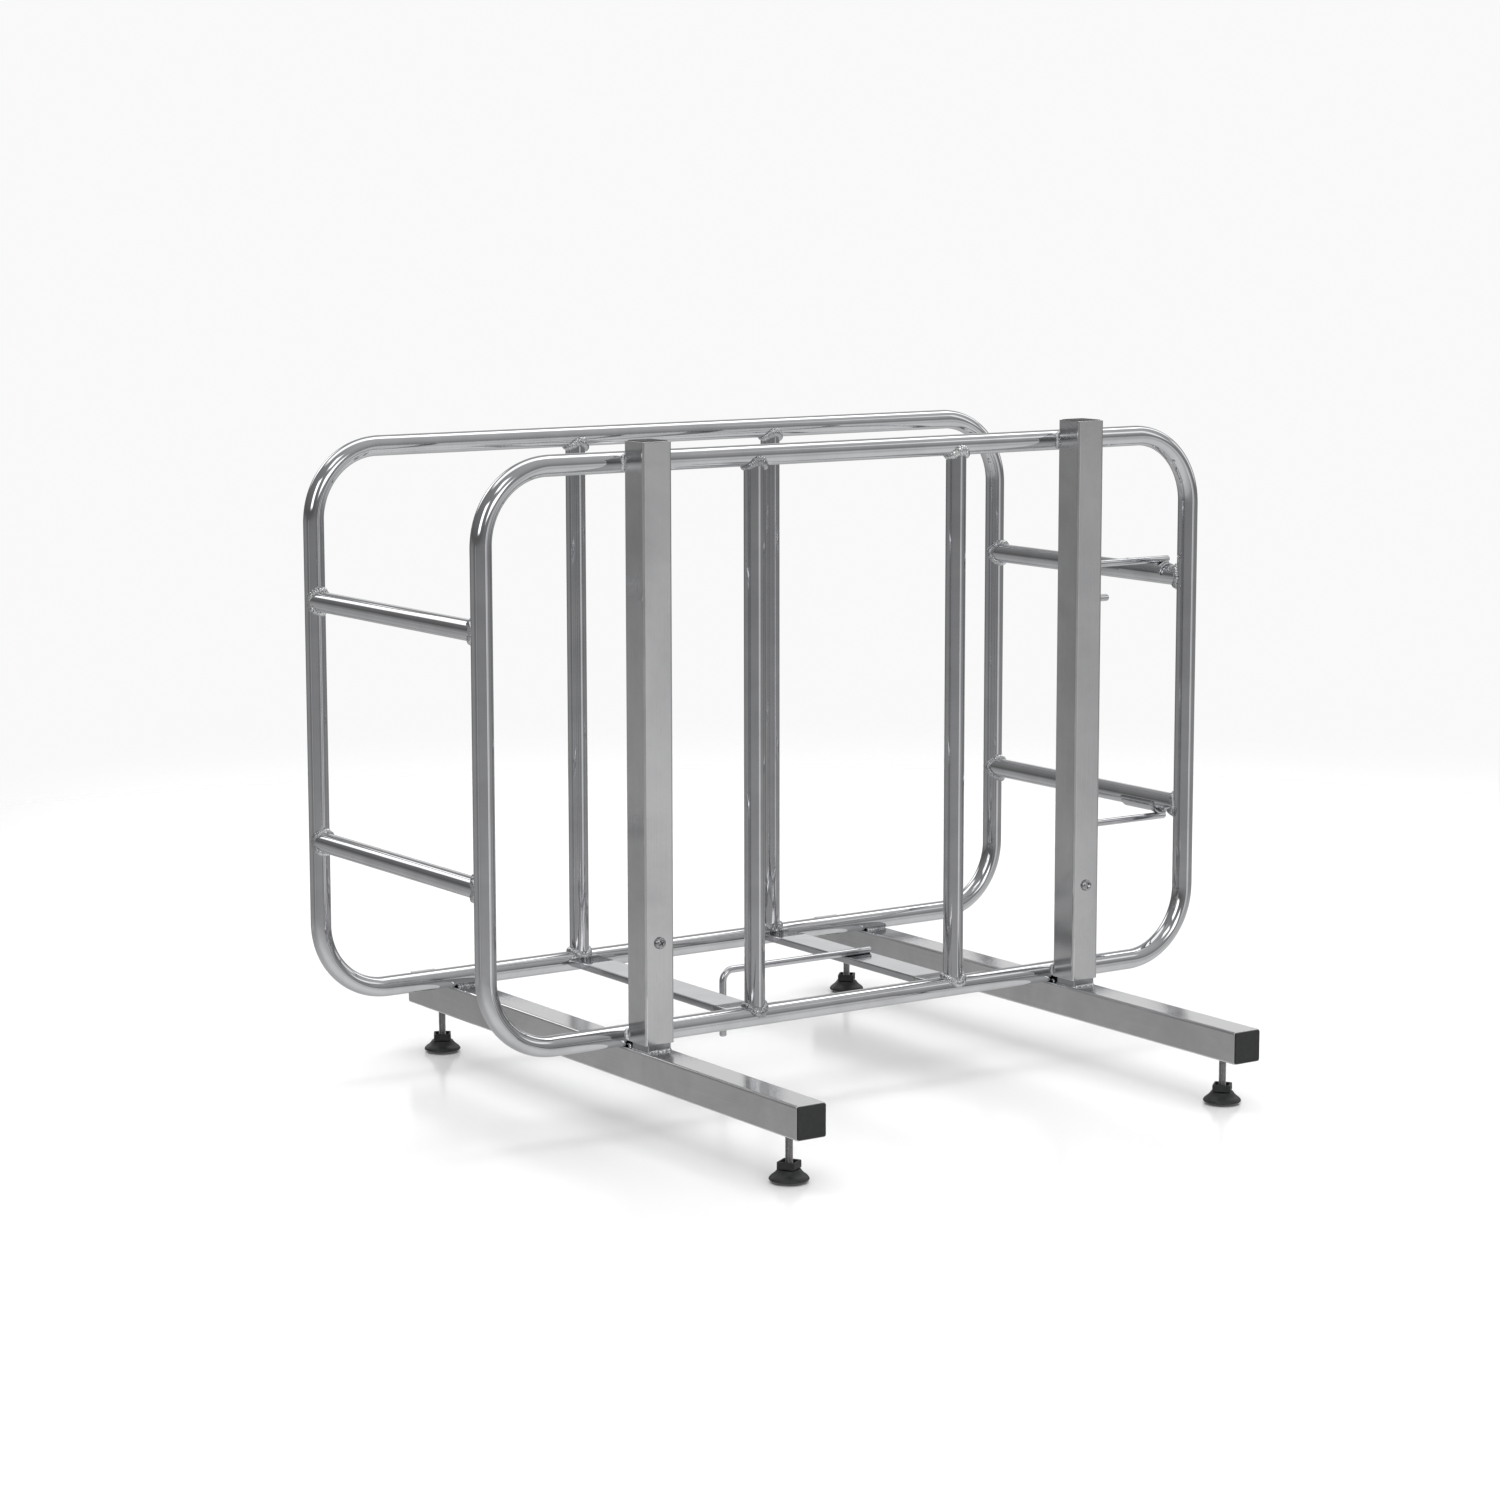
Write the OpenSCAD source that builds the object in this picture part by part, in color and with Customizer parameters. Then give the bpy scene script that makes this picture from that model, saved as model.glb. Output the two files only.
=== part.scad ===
// Cabin-bag gauge stand: two round-tube loops tied into a cage, carried by two
// square uprights that are screwed onto spigots on two levelled foot bars.
// All lengths in mm. +X right along the long side, +Y to the rear, +Z up.
// Origin: on the floor, at the centre of the overall footprint.

/* [Cage] */
// Outside diameter of the round tube of the loops
tube_d = 14; // [12:0.5:16]
// Wall of the round tube
tube_wall = 1.2; // [1:0.1:2]
// Loop width between tube centrelines
loop_w = 580; // [480:1:620]
// Loop height between tube centrelines
loop_h = 374; // [340:1:440]
// Centreline radius of the loop's four bends
bend_r = 49; // [30:1:70]
// Distance between the two loops' centreplanes
loop_gap = 222; // [180:1:260]
// Height of the bottom tubes' centreline above the floor
loop_z = 61; // [58:0.5:70]
// Distance of the loops' mid-plane behind the footprint's centre
cage_y = 68; // [40:1:80]
// Distance between the two rungs of a loop
rung_gap = 166; // [120:1:220]
// Height of the lower side crossbars' centreline
low_bar_z = 168; // [130:1:200]
// Height of the upper side crossbars' centreline
high_bar_z = 332.5; // [290:0.5:370]
// Diameter of the welded-in rungs and crossbars
rung_d = 13.8; // [10:0.2:14]
// Width of the two flat floor strips
strip_w = 25; // [15:1:40]
// Thickness of the flat floor strips
strip_t = 5; // [3:0.5:6]
// Height of the strips' underside above the floor
strip_z = 59; // [57:0.5:62]

/* [Uprights and foot bars] */
// Side of the square tube
square_w = 22; // [20:1:25]
// Wall of the square tube
square_wall = 1; // [0.8:0.1:1.6]
// Outer corner radius of the square tube
square_r = 1.5; // [1.2:0.1:4]
// Distance between the two uprights
upright_gap = 354; // [300:1:420]
// Height of the uprights' top edge above the floor
upright_top = 449.2; // [430:0.1:480]
// Height of the uprights' lower end above the floor
upright_z = 59; // [55:0.5:70]
// Length of a foot bar over its end caps
foot_len = 484.6; // [400:0.2:560]
// Height of the foot bars' underside above the floor
foot_z = 31.95; // [31:0.05:32]

/* [Spigots and screws] */
// Side of the square spigot
spigot_w = 18.6; // [16:0.1:18.6]
// Wall of the spigot tube
spigot_wall = 2; // [1.5:0.1:3]
// Height of the spigot's top above the floor
spigot_top = 152; // [140:1:200]
// Height of the clamp screw above the floor
screw_z = 126; // [100:1:135]
// Diameter of the screw's shank
screw_d = 4; // [3:0.5:5]
// Diameter of the screw's pan head
screw_head_d = 7.8; // [6:0.1:9]
// Height of the screw's pan head
screw_head_h = 2.4; // [1.8:0.1:3]

/* [Levelling feet] */
// Distance of the front feet ahead of the footprint's centre
foot_front_y = 217.7; // [180:0.1:225]
// Distance of the rear feet behind the footprint's centre
foot_rear_y = 212.9; // [180:0.1:225]
// Major diameter of the stem's thread
stem_d = 5; // [5:0.1:6]
// Height of the stem's top above the floor
stem_top = 40; // [38.5:0.1:41]
// Diameter of the pad at its widest
pad_d = 25.5; // [20:0.5:30]
// Diameter of the pad's sole
sole_d = 20; // [16:0.5:22]
// Height at which the pad is widest
rim_h = 2; // [1:0.1:3]
// Height of the hub's underside, just over the pad
pad_h = 8.6; // [8:0.1:10]
// Height of the square hub's top
hub_top = 13.4; // [11:0.1:16]
// Side of the square hub
hub_w = 12; // [9:0.1:13]

/* [Sliding wire stop] */
// Diameter of the bent wires
wire_d = 5; // [4:0.5:6]
// Setback of the stop behind the front loop
stop_y = 25; // [22:1:40]
// Distance of the stop's upright wire to the left of the right crossbars
stop_reach = 80; // [60:1:90]
// Inner radius of the stop's two bends
stop_bend = 10; // [8:1:20]
// Thickness of the saddles
saddle_t = 1.5; // [1:0.1:2]
// Length of the upper saddle
saddle_up_len = 46; // [30:1:60]
// Length of the lower saddle
saddle_low_len = 35; // [25:1:60]

/* [Hidden] */
$fn = 96;
eps = 0.01;
run_gap = 0.06;          // running clearance of a sliding or turning fit
tap_gap = 0.05;          // screw or spigot to what it seats against
tube_r = tube_d / 2;
front_y = cage_y - loop_gap / 2;
rear_y = cage_y + loop_gap / 2;
side_x = loop_w / 2;
rung_x = rung_gap / 2;
up_x = upright_gap / 2;
up_y = front_y - tube_r - square_w / 2;
spigot_y = up_y - square_w / 2 + square_wall + tap_gap + spigot_w / 2;
loop_top_z = loop_z + loop_h;
foot_top = foot_z + square_w;
bore_w = square_w - 2 * square_wall;
cap_depth = 14;          // plug length inside a foot bar
cap_gap = 0.1;           // plug to tube wall, per side
cap_wall = 2;            // wall and face thickness of a plug
cap_face = 1;            // flange of a foot bar's cap
cap_face_w = square_w - 1;
bar_len = foot_len - 2 * (cap_face + tap_gap);
bore_r = square_r - square_wall / 2;
plug_w = bore_w - 2 * cap_gap;
plug_r = bore_r - cap_gap;
crown_h = 1.2;           // height of an upright cap's low dome
crown_r = 78;
vent_d = 3;              // plating drain hole
nut_af = 8;
nut_h = 4;
nut_z = foot_z + square_wall;
stem_bore_r = stem_d / 2 + run_gap;
stem_hole_d = stem_d + 1;
foot_y = [-foot_front_y, foot_rear_y];
ball_r = 3;
ball_z = 4.2;
neck_d = stem_d - 1;
hub_gap = 0.3;
lip_h = 1.8;             // steep part of the pad above its widest
lip_d = pad_d - 1.6;
hub_wall = 1.3;
hub_r = 0.8;
hub_floor = 1.7;
collar_d = 7.2;          // stem's collar, seated in the hub's socket
collar_h = 1.3;
saddle_in = rung_d / 2 + run_gap;
saddle_out = saddle_in + saddle_t;
weld_sink = 0.1;         // how far a wire bites into what it is welded to
arm_z = high_bar_z + saddle_out + wire_d / 2 - weld_sink;
low_arm_z = low_bar_z - saddle_out - wire_d / 2 + weld_sink;
stop_abs_y = front_y + stop_y;
stop_x = side_x - stop_reach;
arm_over = 4;            // how far the arms reach past the crossbar's centre
stub_z = 319;
stub_len = 28;
prop_x = -34;
prop_y = front_y + 111;
prop_low = 19.5;
prop_bend = 8;
prop_end_x = rung_x + strip_w / 2 - 2;
bead = 1.2;              // leg of the weld bead round a spigot
bead_h = 1.4;
spigot_r = 1.4;          // outer corner radius of a spigot

// ---- shared profiles -------------------------------------------------------

module rounded_square(w, r) {
    square([w - 2 * r, w], center = true);
    square([w, w - 2 * r], center = true);
    for (sx = [-1, 1])
        for (sy = [-1, 1])
            translate([sx * (w / 2 - r), sy * (w / 2 - r)])
                circle(r = r);
}

module square_tube(len, w, wall, r) {
    difference() {
        linear_extrude(height = len)
            rounded_square(w, r);
        translate([0, 0, -1])
            linear_extrude(height = len + 2)
                rounded_square(w - 2 * wall, r - wall / 2);
    }
}

module rod_x(x0, x1, d) {
    translate([x0, 0, 0])
        rotate([0, 90, 0])
            cylinder(h = x1 - x0, d = d);
}

module rod_y(y0, y1, d) {
    translate([0, y0, 0])
        rotate([-90, 0, 0])
            cylinder(h = y1 - y0, d = d);
}

// ---- cage ------------------------------------------------------------------

module loop_solid(d) {
    half_w = side_x - bend_r;
    half_h = loop_h / 2 - bend_r;
    rotate([90, 0, 0]) {
        for (s = [-1, 1]) {
            translate([0, s * loop_h / 2, 0])
                rod_x(-half_w, half_w, d);
            translate([s * side_x, 0, 0])
                rod_y(-half_h, half_h, d);
        }
        for (q = [0:3])
            translate([
                (q == 0 || q == 3 ? 1 : -1) * half_w,
                (q < 2 ? 1 : -1) * half_h,
                0
            ])
                rotate([0, 0, 90 * q])
                    rotate_extrude(angle = 90)
                        translate([bend_r, 0])
                            circle(d = d);
    }
}

module loop_tube(y) {
    translate([0, y, loop_z + loop_h / 2])
        difference() {
            loop_solid(tube_d);
            loop_solid(tube_d - 2 * tube_wall);
            translate([side_x - bend_r - 30, 0, -loop_h / 2 - tube_d])
                cylinder(h = tube_d, d = vent_d);
        }
}

module rung(x, y) {
    translate([x, y, 0])
        difference() {
            translate([0, 0, loop_z])
                cylinder(h = loop_h, d = rung_d);
            translate([0, 0, loop_z - 1])
                cylinder(h = loop_h + 2, d = rung_d - 2 * tube_wall);
            for (z = [loop_z, loop_top_z])
                translate([0, 0, z])
                    rod_x(-tube_d, tube_d, tube_d);
        }
}

module crossbar(x, z) {
    translate([x, cage_y, z])
        difference() {
            rod_y(-loop_gap / 2, loop_gap / 2, rung_d);
            rod_y(-loop_gap / 2 - 1, loop_gap / 2 + 1, rung_d - 2 * tube_wall);
            for (s = [-1, 1])
                translate([0, s * loop_gap / 2, -tube_d])
                    cylinder(h = 2 * tube_d, d = tube_d);
        }
}

module floor_strip(x) {
    difference() {
        translate([x - strip_w / 2, front_y, strip_z])
            cube([strip_w, loop_gap, strip_t]);
        for (y = [front_y, rear_y])
            translate([x, y, loop_z])
                rod_x(-strip_w, strip_w, tube_d);
    }
}

module floor_wire() {
    wire_z = strip_z + strip_t + wire_d / 2 - weld_sink;
    color([0.72, 0.73, 0.75])
        translate([prop_x, prop_y, 0]) {
            translate([prop_bend, 0, wire_z])
                rod_x(0, prop_end_x - prop_x - prop_bend, wire_d);
            translate([0, 0, wire_z - prop_bend])
                quarter_bend(prop_bend);
            translate([0, 0, prop_low])
                cylinder(h = wire_z - prop_bend - prop_low, d = wire_d);
        }
}

// ---- uprights, spigots and foot bars ---------------------------------------

module upright(x) {
    difference() {
        translate([x, up_y, upright_z])
            square_tube(upright_top - upright_z, square_w, square_wall, square_r);
        translate([x, up_y, screw_z])
            rod_y(-square_w, 0, screw_d + 0.5);
    }
}

module spigot(x) {
    difference() {
        translate([x, spigot_y, foot_top])
            square_tube(spigot_top - foot_top, spigot_w, spigot_wall, spigot_r);
        translate([x, spigot_y, screw_z])
            rod_y(-square_w, 0, screw_d + 2 * run_gap);
    }
}

module spigot_welds() {
    color([0.6, 0.61, 0.62])
        for (s = [-1, 1])
            translate([s * up_x, spigot_y, foot_top])
                difference() {
                    linear_extrude(height = bead_h)
                        rounded_square(spigot_w + 2 * bead, spigot_r + bead);
                    translate([0, 0, -1])
                        linear_extrude(height = bead_h + 2)
                            rounded_square(spigot_w, spigot_r);
                }
}

module clamp_screws() {
    head_r = screw_head_d / 2;
    shank = 9;
    color([0.55, 0.56, 0.58])
        for (s = [-1, 1])
            translate([s * up_x, up_y - square_w / 2, screw_z])
                rotate([90, 0, 0])
                    difference() {
                        union() {
                            translate([0, 0, -shank])
                                cylinder(h = shank + 0.5, d = screw_d);
                            cylinder(h = screw_head_h * 0.55, r = head_r);
                            translate([0, 0, screw_head_h * 0.55])
                                cylinder(
                                    h = screw_head_h * 0.45,
                                    r1 = head_r,
                                    r2 = head_r * 0.62
                                );
                        }
                        for (a = [0, 90])
                            rotate([0, 0, a])
                                translate([-2.1, -0.5, screw_head_h - 1.6])
                                    cube([4.2, 1, 2]);
                    }
}

module plug(depth) {
    difference() {
        linear_extrude(height = depth)
            rounded_square(plug_w, plug_r);
        translate([0, 0, cap_wall])
            linear_extrude(height = depth)
                rounded_square(plug_w - 2 * cap_wall, plug_r / 2);
    }
}

module upright_caps() {
    color([0.05, 0.05, 0.05])
        for (s = [-1, 1])
            translate([s * up_x, up_y, upright_top]) {
                mirror([0, 0, 1])
                    plug(cap_depth);
                intersection() {
                    linear_extrude(height = crown_h)
                        rounded_square(plug_w, plug_r);
                    translate([0, 0, crown_h - crown_r])
                        sphere(r = crown_r);
                }
            }
}

module foot_bar(x) {
    difference() {
        translate([x, bar_len / 2, foot_z + square_w / 2])
            rotate([90, 0, 0])
                square_tube(bar_len, square_w, square_wall, square_r);
        for (y = foot_y)
            translate([x, y, foot_z - 1])
                cylinder(h = square_wall + 2, d = stem_hole_d);
    }
}

module foot_bar_caps() {
    color([0.05, 0.05, 0.05])
        for (sx = [-1, 1])
            for (sy = [-1, 1])
                translate([sx * up_x, sy * foot_len / 2, foot_z + square_w / 2])
                    rotate([sy * 90, 0, 0]) {
                        linear_extrude(height = cap_face)
                            rounded_square(cap_face_w, square_r - 0.3);
                        translate([0, 0, cap_face - eps])
                            plug(cap_depth);
                    }
}

module weld_nuts() {
    color([0.55, 0.56, 0.58])
        for (s = [-1, 1])
            for (y = foot_y)
                translate([s * up_x, y, nut_z])
                    difference() {
                        rotate([0, 0, 30])
                            cylinder(h = nut_h, d = nut_af / cos(30), $fn = 6);
                        translate([0, 0, -1])
                            cylinder(h = nut_h + 2, r = stem_bore_r);
                    }
}

// ---- levelling feet --------------------------------------------------------

module pad(x, y) {
    lip_z = rim_h + lip_h;
    color([0.07, 0.07, 0.07])
        translate([x, y, 0])
            difference() {
                union() {
                    cylinder(h = rim_h, d1 = sole_d, d2 = pad_d);
                    translate([0, 0, rim_h])
                        cylinder(h = lip_h, d1 = pad_d, d2 = lip_d);
                    translate([0, 0, lip_z])
                        cylinder(h = pad_h - hub_gap - lip_z, d1 = lip_d, d2 = hub_w + 1.8);
                }
                translate([0, 0, ball_z])
                    sphere(r = ball_r + run_gap);
                translate([0, 0, ball_z])
                    cylinder(h = pad_h, d = neck_d + 0.4);
            }
}

module hub(x, y, a) {
    // Square cup, turned by a, that the stem is moulded into.
    color([0.07, 0.07, 0.07])
        translate([x, y, pad_h])
            difference() {
                rotate([0, 0, a])
                    linear_extrude(height = hub_top - pad_h)
                        rounded_square(hub_w, hub_r);
                rotate([0, 0, a])
                    translate([0, 0, hub_floor])
                        linear_extrude(height = hub_top)
                            rounded_square(hub_w - 2 * hub_wall, hub_r);
                translate([0, 0, -1])
                    cylinder(h = hub_top + 2, d = stem_d);
            }
}

module stem(x, y) {
    tip_h = 0.6;
    color([0.6, 0.61, 0.62])
        translate([x, y, 0]) {
            translate([0, 0, ball_z])
                sphere(r = ball_r);
            translate([0, 0, ball_z])
                cylinder(h = pad_h - ball_z, d = neck_d);
            translate([0, 0, pad_h])
                cylinder(h = stem_top - pad_h - tip_h, d = stem_d);
            translate([0, 0, pad_h + hub_floor + tap_gap])
                cylinder(h = collar_h, d = collar_d);
            translate([0, 0, stem_top - tip_h])
                cylinder(h = tip_h, d1 = stem_d, d2 = stem_d - 1.2);
        }
}

// ---- sliding wire stop -----------------------------------------------------

module quarter_bend(r) {
    // From straight up, round to the right, in the XZ plane.
    translate([r, 0, 0])
        rotate([90, 0, 0])
            rotate([0, 0, 90])
                rotate_extrude(angle = 90)
                    translate([r, 0])
                        circle(d = wire_d);
}

module stop_half(z_arm) {
    // One half of the bow above its own middle: upright wire, bend and arm.
    cylinder(h = z_arm - stop_bend, d = wire_d);
    translate([0, 0, z_arm - stop_bend])
        quarter_bend(stop_bend);
    translate([stop_bend, 0, z_arm])
        rod_x(0, stop_reach + arm_over - stop_bend, wire_d);
}

module stop_bow() {
    half_h = (arm_z - low_arm_z) / 2;
    color([0.72, 0.73, 0.75])
        translate([stop_x, stop_abs_y, low_arm_z + half_h])
            for (turn = [0, 180])
                rotate([turn, 0, 0])
                    stop_half(half_h);
}

module stop_stub() {
    color([0.72, 0.73, 0.75])
        translate([stop_x, stop_abs_y, stub_z])
            difference() {
                rod_x(0, stub_len, wire_d);
                translate([0, 0, -wire_d])
                    cylinder(h = 2 * wire_d, d = wire_d);
            }
}

module saddle(len, side) {
    z = side > 0 ? high_bar_z : low_bar_z;
    first = side > 0 ? -5 : 0;
    color([0.66, 0.67, 0.69])
        translate([side_x, stop_abs_y + first + len, z])
            rotate([90, 0, 0])
                rotate([0, 0, side > 0 ? 0 : 180])
                    linear_extrude(height = len)
                        difference() {
                            circle(r = saddle_out);
                            circle(r = saddle_in);
                            translate([-saddle_out - 1, -saddle_out - 1])
                                square([2 * saddle_out + 2, saddle_out + 1]);
                        }
}

// ---- nodes -----------------------------------------------------------------

chrome = [0.78, 0.79, 0.81];
steel = [0.68, 0.69, 0.7];

color(chrome) loop_tube(front_y);  // front_loop
color(chrome) loop_tube(rear_y);  // rear_loop
color(chrome) rung(-rung_x, front_y);  // front_rung_left
color(chrome) rung(rung_x, front_y);  // front_rung_right
color(chrome) rung(-rung_x, rear_y);  // rear_rung_left
color(chrome) rung(rung_x, rear_y);  // rear_rung_right
color(chrome) crossbar(-side_x, high_bar_z);  // crossbar_left_upper
color(chrome) crossbar(-side_x, low_bar_z);  // crossbar_left_lower
color(chrome) crossbar(side_x, high_bar_z);  // crossbar_right_upper
color(chrome) crossbar(side_x, low_bar_z);  // crossbar_right_lower
color(chrome) floor_strip(-rung_x);  // floor_strip_left
color(chrome) floor_strip(rung_x);  // floor_strip_right
floor_wire();
color(steel) upright(-up_x);  // upright_left
color(steel) upright(up_x);  // upright_right
color(steel) spigot(-up_x);  // spigot_left
color(steel) spigot(up_x);  // spigot_right
spigot_welds();
clamp_screws();
upright_caps();
color(steel) foot_bar(-up_x);  // foot_bar_left
color(steel) foot_bar(up_x);  // foot_bar_right
foot_bar_caps();
weld_nuts();
pad(-up_x, -foot_front_y);  // pad_front_left
pad(up_x, -foot_front_y);  // pad_front_right
pad(-up_x, foot_rear_y);  // pad_rear_left
pad(up_x, foot_rear_y);  // pad_rear_right
hub(-up_x, -foot_front_y, 31);  // hub_front_left
hub(up_x, -foot_front_y, 41);  // hub_front_right
hub(-up_x, foot_rear_y, 60);  // hub_rear_left
hub(up_x, foot_rear_y, 47);  // hub_rear_right
stem(-up_x, -foot_front_y);  // stem_front_left
stem(up_x, -foot_front_y);  // stem_front_right
stem(-up_x, foot_rear_y);  // stem_rear_left
stem(up_x, foot_rear_y);  // stem_rear_right
stop_bow();
stop_stub();
saddle(saddle_up_len, 1);  // saddle_upper
saddle(saddle_low_len, -1);  // saddle_lower
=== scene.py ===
import math
import bpy
import numpy as np
from mathutils import Matrix, Vector


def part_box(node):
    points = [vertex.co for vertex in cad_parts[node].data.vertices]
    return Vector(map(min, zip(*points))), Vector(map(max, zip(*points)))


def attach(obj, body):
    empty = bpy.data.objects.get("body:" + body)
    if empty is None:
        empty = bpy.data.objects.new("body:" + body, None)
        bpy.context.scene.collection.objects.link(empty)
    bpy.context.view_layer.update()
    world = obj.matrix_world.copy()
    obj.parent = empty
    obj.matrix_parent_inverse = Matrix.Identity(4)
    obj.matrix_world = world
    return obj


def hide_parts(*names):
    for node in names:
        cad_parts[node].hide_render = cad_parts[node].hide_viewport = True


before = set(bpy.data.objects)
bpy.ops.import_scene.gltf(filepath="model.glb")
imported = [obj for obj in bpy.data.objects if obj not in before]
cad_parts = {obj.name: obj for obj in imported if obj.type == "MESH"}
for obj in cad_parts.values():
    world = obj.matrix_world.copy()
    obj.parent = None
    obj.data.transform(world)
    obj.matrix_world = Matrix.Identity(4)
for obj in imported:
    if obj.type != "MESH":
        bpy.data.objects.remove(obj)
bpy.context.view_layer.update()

MM = 0.001
X, Y, Z = np.eye(3)


def box(node):
    lo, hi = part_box(node)
    return np.array(lo, float), np.array(hi, float)


def unit(v):
    v = np.asarray(v, float)
    return v / np.linalg.norm(v, axis=-1, keepdims=True)


# ---------------------------------------------------------------- mesh tools

class Shape:
    """Verts, faces and one UV map (metres round, metres along), gathered ring by ring."""

    def __init__(self):
        self.v, self.f, self.uv = [], [], []

    def loft(self, rings, closed=False, cap0=False, cap1=False):
        rings = [np.asarray(r, float) for r in rings]
        n, base = len(rings[0]), len(self.v)
        for r in rings:
            self.v.extend(map(tuple, r))
        mid = rings[len(rings) // 2]
        step = np.linalg.norm(np.roll(mid, -1, 0) - mid, axis=1)
        u = np.concatenate([[0], np.cumsum(step)])
        centres = np.array([r.mean(0) for r in rings])
        gap = np.linalg.norm(np.diff(np.vstack([centres, centres[:1]]), axis=0), axis=1)
        side = [np.abs(rings[k] - rings[(k + 1) % len(rings)]).max() for k in range(len(rings))]
        run = np.concatenate([[0.0], np.cumsum(np.maximum(gap, np.array(side) * 0.7))])
        for k in range(len(rings) if closed else len(rings) - 1):
            a, b = base + k * n, base + ((k + 1) % len(rings)) * n
            for j in range(n):
                j2 = (j + 1) % n
                self.f.append((a + j, a + j2, b + j2, b + j))
                self.uv.append([
                    (u[j], run[k]), (u[j + 1], run[k]), (u[j + 1], run[k + 1]), (u[j], run[k + 1])])
        for want, k, flip in ((cap0, 0, True), (cap1, len(rings) - 1, False)):
            if want:
                ids = [base + k * n + j for j in range(n)]
                self.f.append(tuple(reversed(ids)) if flip else tuple(ids))
                order = range(n - 1, -1, -1) if flip else range(n)
                self.uv.append([(u[i % n], run[k]) for i in order])
        return self

    def piece(self, name, mat, body="frame", slot=None, nodes=(), sharp=None):
        me = bpy.data.meshes.new(name)
        me.from_pydata(self.v, [], self.f)
        uv = me.uv_layers.new(name="run")
        uv.data.foreach_set("uv", np.array([c for f in self.uv for c in f], float).ravel())
        me.polygons.foreach_set("use_smooth", [True] * len(me.polygons))
        me.validate()
        me.update()
        if sharp is not None:
            me.set_sharp_from_angle(angle=math.radians(sharp))
        ob = bpy.data.objects.new(name, me)
        bpy.context.scene.collection.objects.link(ob)
        me.materials.append(mat)
        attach(ob, body)
        if nodes:
            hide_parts(*nodes)
        return ob


def circle(r, n=48, phase=0.0):
    a = np.arange(n) * 2 * math.pi / n + phase
    return np.stack([r * np.cos(a), r * np.sin(a)], 1)


def rounded_poly(apothem, r, sides=4, arc=7, hold=0.25 * MM):
    """A regular polygon with round corners; extra points keep each flat flat."""
    pts = []
    for s in range(sides):
        a0 = s * 2 * math.pi / sides
        half = math.pi / sides
        corner = (apothem - r) / math.cos(half)
        c = corner * np.array([math.cos(a0 + half), math.sin(a0 + half)])
        for k in range(arc + 1):
            a = a0 + 2 * half * k / arc
            pts.append(c + r * np.array([math.cos(a), math.sin(a)]))
        a = a0 + 2 * half
        along = np.array([-math.sin(a), math.cos(a)])
        flat = 2 * ((apothem - r) * math.tan(half))
        pts.append(pts[-1] + along * min(hold, flat * 0.3))
        pts.append(pts[-2] + along * (flat - min(hold, flat * 0.3)))
    return np.array(pts)


def place(p2, o, ex, ey):
    """2D points onto the plane through o with axes ex and ey."""
    p2, o = np.asarray(p2, float), np.asarray(o, float)
    return o + p2[:, :1] * np.asarray(ex, float) + p2[:, 1:2] * np.asarray(ey, float)


def lathe(shape, o, profile, n=48, ex=X, ey=Y, ez=Z, **kw):
    """A turned solid: profile lists (radius, height along ez)."""
    rings = [place(circle(r, n), np.asarray(o) + z * ez, ex, ey) for r, z in profile]
    return shape.loft(rings, **kw)


def wobble(s, seed, amount):
    """A smooth, seeded, irregular factor along a run of length s (metres)."""
    rng = np.random.default_rng(seed)
    out = np.ones_like(s)
    for wave in (9.0, 5.3, 3.1, 1.9):
        out += amount * rng.uniform(0.3, 0.8) * np.sin(2 * math.pi * s / (wave * MM) + rng.uniform(0, 6.28))
    return out


def bead(shape, pts, up, radius, seed, closed=True, sides=12, pitch=1.15, flat=0.85, swell=None):
    """A weld bead: a lumpy, overlapping run of small pools along pts, sunk into what it joins."""
    pts = np.asarray(pts, float)
    up = np.asarray(up, float)
    nxt = np.roll(pts, -1, 0) - pts
    if not closed:
        nxt[-1] = nxt[-2]
    s = np.concatenate([[0], np.cumsum(np.linalg.norm(nxt, axis=1))])[:-1]
    t = unit(np.roll(pts, -1, 0) - np.roll(pts, 1, 0)) if closed else unit(np.gradient(pts, axis=0))
    a = unit(up - (up * t).sum(1, keepdims=True) * t)
    b = np.cross(t, a)
    ripple = 1 + 0.16 * np.abs(np.sin(math.pi * s / (pitch * MM))) - 0.08
    rad = radius * wobble(s, seed, 0.08) * ripple
    if not closed:
        end = np.minimum(s, s[-1] - s) / (1.6 * radius)
        rad = rad * np.sqrt(np.clip(end, 0.02, 1) * (2 - np.clip(end, 0.02, 1)))
    rng = np.random.default_rng(seed + 99)
    total = s[-1] + (s[1] - s[0])
    for _ in range(max(2, int(total / (9 * MM)))):
        gap = np.abs(s - rng.uniform(0, total))
        gap = np.minimum(gap, total - gap) if closed else gap
        rad = rad * (1 + rng.uniform(0.12, 0.3) * np.exp(-(gap / (rng.uniform(0.8, 1.7) * MM)) ** 2))
    if swell is not None:
        rad = rad * swell
    drift = radius * 0.12 * (wobble(s, seed + 7, 0.5) - 1)
    rings = []
    ang = np.arange(sides) * 2 * math.pi / sides
    for i in range(len(pts)):
        tall = np.outer(np.cos(ang) * rad[i] * flat, a[i])
        rings.append(pts[i] + tall + np.outer(np.sin(ang) * rad[i] + drift[i], b[i]))
    shape.loft(rings, closed=closed, cap0=not closed, cap1=not closed)


def resample(pts, step, closed=True):
    pts = np.asarray(pts, float)
    loop = np.vstack([pts, pts[:1]]) if closed else pts
    s = np.concatenate([[0], np.cumsum(np.linalg.norm(np.diff(loop, axis=0), axis=1))])
    n = max(6, int(round(s[-1] / step)))
    at = np.linspace(0, s[-1], n, endpoint=not closed)
    return np.stack([np.interp(at, s, loop[:, k]) for k in range(3)], 1)


# ---------------------------------------------------------------- materials

def nodes_of(name):
    m = bpy.data.materials.new(name)
    m.use_nodes = True
    return m, m.node_tree, m.node_tree.nodes["Principled BSDF"]


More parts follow.
